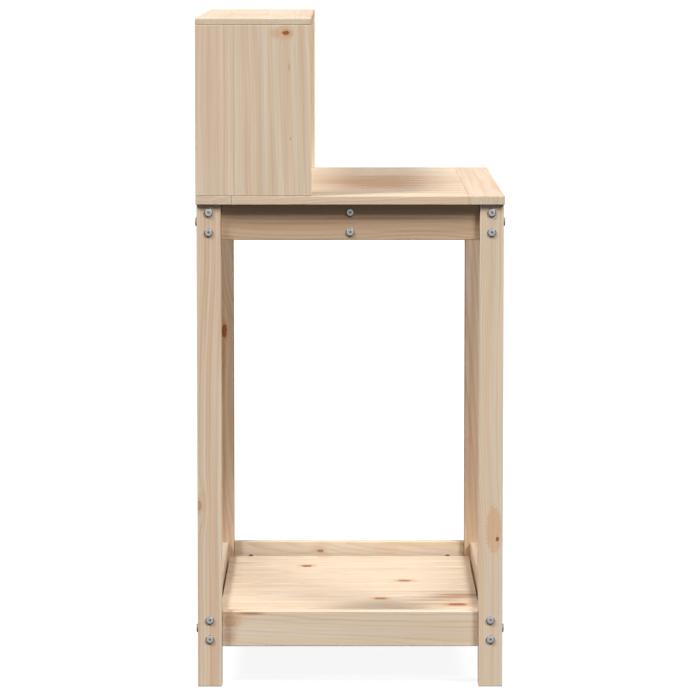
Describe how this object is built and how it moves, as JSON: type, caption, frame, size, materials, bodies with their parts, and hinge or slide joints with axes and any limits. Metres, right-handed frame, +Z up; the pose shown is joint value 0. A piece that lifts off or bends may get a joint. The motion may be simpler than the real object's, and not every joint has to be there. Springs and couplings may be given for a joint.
{
  "type": "potting bench",
  "caption": "Bolted pine potting bench: slatted work surface, slatted lower shelf inside a rail frame, and an open hutch along the back.",
  "frame": {"origin": "on the floor, under the middle of the bench", "axes": "+Z up, X along the bench's length, -Y towards the front, where a person stands, +Y towards the back, where the hutch is"},
  "size_m": [0.825, 0.5028, 1.09],
  "materials": {
    "pine_frame": "planed, unfinished solid pine, satin",
    "pine_boards": "planed, unfinished solid pine, satin",
    "pine_hutch": "planed, unfinished solid pine, satin",
    "bolt_steel": "zinc-plated steel, semi-bright"
  },
  "bodies": {
    "root": {"apron_back": "pine_frame", "apron_front": "pine_frame", "apron_left": "pine_frame", "apron_right": "pine_frame", "bolt_back_left_lower": "bolt_steel", "bolt_back_left_upper": "bolt_steel", "bolt_back_right_lower": "bolt_steel", "bolt_back_right_upper": "bolt_steel", "bolt_centre_left_1": "bolt_steel", "bolt_centre_left_2": "bolt_steel", "bolt_centre_right_1": "bolt_steel", "bolt_centre_right_2": "bolt_steel", "bolt_front_left_lower": "bolt_steel", "bolt_front_left_upper": "bolt_steel", "bolt_front_right_lower": "bolt_steel", "bolt_front_right_upper": "bolt_steel", "centre_rail": "pine_frame", "hutch_side_left": "pine_hutch", "hutch_side_right": "pine_hutch", "hutch_top": "pine_hutch", "leg_back_left": "pine_frame", "leg_back_right": "pine_frame", "leg_front_left": "pine_frame", "leg_front_right": "pine_frame", "lower_rail_back": "pine_frame", "lower_rail_front": "pine_frame", "lower_rail_left": "pine_frame", "lower_rail_right": "pine_frame", "shelf_batten_back": "pine_frame", "shelf_batten_front": "pine_frame", "shelf_slat_1": "pine_boards", "shelf_slat_10": "pine_boards", "shelf_slat_11": "pine_boards", "shelf_slat_2": "pine_boards", "shelf_slat_3": "pine_boards", "shelf_slat_4": "pine_boards", "shelf_slat_5": "pine_boards", "shelf_slat_6": "pine_boards", "shelf_slat_7": "pine_boards", "shelf_slat_8": "pine_boards", "shelf_slat_9": "pine_boards", "top_cleat_back": "pine_frame", "top_cleat_front": "pine_frame", "top_cross_board_1": "pine_boards", "top_cross_board_10": "pine_boards", "top_cross_board_11": "pine_boards", "top_cross_board_12": "pine_boards", "top_cross_board_13": "pine_boards", "top_cross_board_2": "pine_boards", "top_cross_board_3": "pine_boards", "top_cross_board_4": "pine_boards", "top_cross_board_5": "pine_boards", "top_cross_board_6": "pine_boards", "top_cross_board_7": "pine_boards", "top_cross_board_8": "pine_boards", "top_cross_board_9": "pine_boards", "top_long_board_back": "pine_boards", "top_long_board_front": "pine_boards"}
  },
  "joints": []
}
